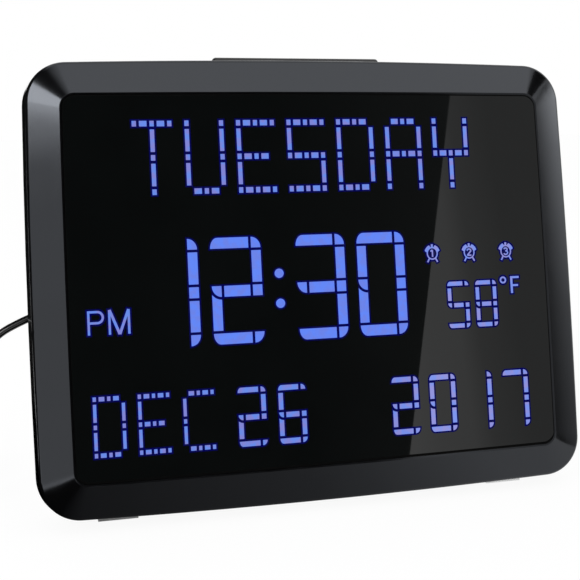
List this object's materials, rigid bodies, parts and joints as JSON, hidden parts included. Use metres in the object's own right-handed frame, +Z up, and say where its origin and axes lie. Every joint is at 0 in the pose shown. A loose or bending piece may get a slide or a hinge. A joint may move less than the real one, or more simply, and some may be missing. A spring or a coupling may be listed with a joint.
{
  "type": "day clock",
  "caption": "Desk day clock: large lit day, time and date readout in a gloss black sloped frame, with a fold-out rear stand and a low-voltage lead to a wall adapter",
  "frame": {"origin": "middle of the clock's footprint, on the table it stands on, without its cord and adapter", "axes": "+X to the right of someone reading the clock, +Y from the face towards the back, +Z up; the face leans back 11.4 degrees"},
  "size_m": [0.3232, 0.0856, 0.1842],
  "materials": {
    "bezel": "piano-gloss moulded ABS",
    "lens": "clear cover over a black display",
    "tape": "foam tape",
    "glass": "display glass",
    "film": "white optical film",
    "guide": "clear acrylic",
    "board": "green solder mask",
    "led": "lamp body",
    "case": "fine-grained moulded ABS",
    "screw": "zinc-plated steel",
    "ribbon": "polyimide film",
    "parts": "moulded component bodies",
    "switch": "switch body",
    "rubber": "soft rubber",
    "key": "moulded keycap",
    "snooze": "gloss moulded ABS",
    "pin": "ground steel",
    "cell": "wrapped steel can",
    "contact": "nickel-plated spring steel",
    "cord": "black PVC sheath",
    "plug": "moulded PVC",
    "adapter": "satin black polycarbonate",
    "blade": "nickel-plated brass"
  },
  "bodies": {
    "case": {"front_bezel": "bezel", "lens": "lens", "lens_tape": "tape", "lcd_panel": "glass", "diffuser": "film", "light_guide": "guide", "reflector": "film", "backlight_board": "board", "backlight_leds": "led", "display_tray": "case", "tray_screws": "screw", "display_ribbon": "ribbon", "main_board": "board", "board_parts": "parts", "board_screws": "screw", "key_board": "board", "key_switches": "switch", "key_board_screws": "screw", "key_ribbon": "ribbon", "snooze_board": "board", "snooze_switches": "switch", "snooze_board_screws": "screw", "snooze_ribbon": "ribbon", "rear_housing": "case", "case_screws": "screw", "case_pads": "rubber", "stand_pin": "pin", "cells": "cell", "battery_contacts": "contact", "buzzer": "parts", "temperature_sensor": "parts", "dc_jack": "parts", "dc_plug": "plug", "plug_strain_relief": "plug", "power_cord": "cord", "cord_coil": "cord", "cord_tail": "cord", "adapter_strain_relief": "plug", "adapter_case": "adapter", "adapter_blades": "blade"},
    "stand": {"stand_leg": "case", "leg_foot": "rubber"},
    "snooze": {"snooze_bar": "snooze"},
    "battery_lid": {"battery_door": "case"},
    "rear_key_1_cap": {"rear_key_1": "key"},
    "rear_key_2_cap": {"rear_key_2": "key"},
    "rear_key_3_cap": {"rear_key_3": "key"},
    "rear_key_4_cap": {"rear_key_4": "key"},
    "rear_key_5_cap": {"rear_key_5": "key"},
    "rear_key_6_cap": {"rear_key_6": "key"}
  },
  "joints": [
    {"name": "stand_hinge", "type": "hinge", "parent": "case", "child": "stand", "pos_m": [0, 0.0092, 0.09736], "axis": [1, 0, 0], "range_deg": [-23.2, 0]},
    {"name": "snooze_press", "type": "slide", "parent": "case", "child": "snooze", "axis": [0, -0.1977, -0.9803], "range_m": [0, 0.0008], "stiffness_N_per_m": 700, "springref_m": -0.0008},
    {"name": "battery_lid_slide", "type": "slide", "parent": "case", "child": "battery_lid", "axis": [0, 0.9803, -0.1977], "range_m": [0, 0.014]},
    {"name": "rear_key_1_press", "type": "slide", "parent": "case", "child": "rear_key_1_cap", "axis": [0, -0.9803, 0.1977], "range_m": [0, 0.0008], "stiffness_N_per_m": 500, "springref_m": -0.0006},
    {"name": "rear_key_2_press", "type": "slide", "parent": "case", "child": "rear_key_2_cap", "axis": [0, -0.9803, 0.1977], "range_m": [0, 0.0008], "stiffness_N_per_m": 500, "springref_m": -0.0006},
    {"name": "rear_key_3_press", "type": "slide", "parent": "case", "child": "rear_key_3_cap", "axis": [0, -0.9803, 0.1977], "range_m": [0, 0.0008], "stiffness_N_per_m": 500, "springref_m": -0.0006},
    {"name": "rear_key_4_press", "type": "slide", "parent": "case", "child": "rear_key_4_cap", "axis": [0, -0.9803, 0.1977], "range_m": [0, 0.0008], "stiffness_N_per_m": 500, "springref_m": -0.0006},
    {"name": "rear_key_5_press", "type": "slide", "parent": "case", "child": "rear_key_5_cap", "axis": [0, -0.9803, 0.1977], "range_m": [0, 0.0008], "stiffness_N_per_m": 500, "springref_m": -0.0006},
    {"name": "rear_key_6_press", "type": "slide", "parent": "case", "child": "rear_key_6_cap", "axis": [0, -0.9803, 0.1977], "range_m": [0, 0.0008], "stiffness_N_per_m": 500, "springref_m": -0.0006}
  ]
}
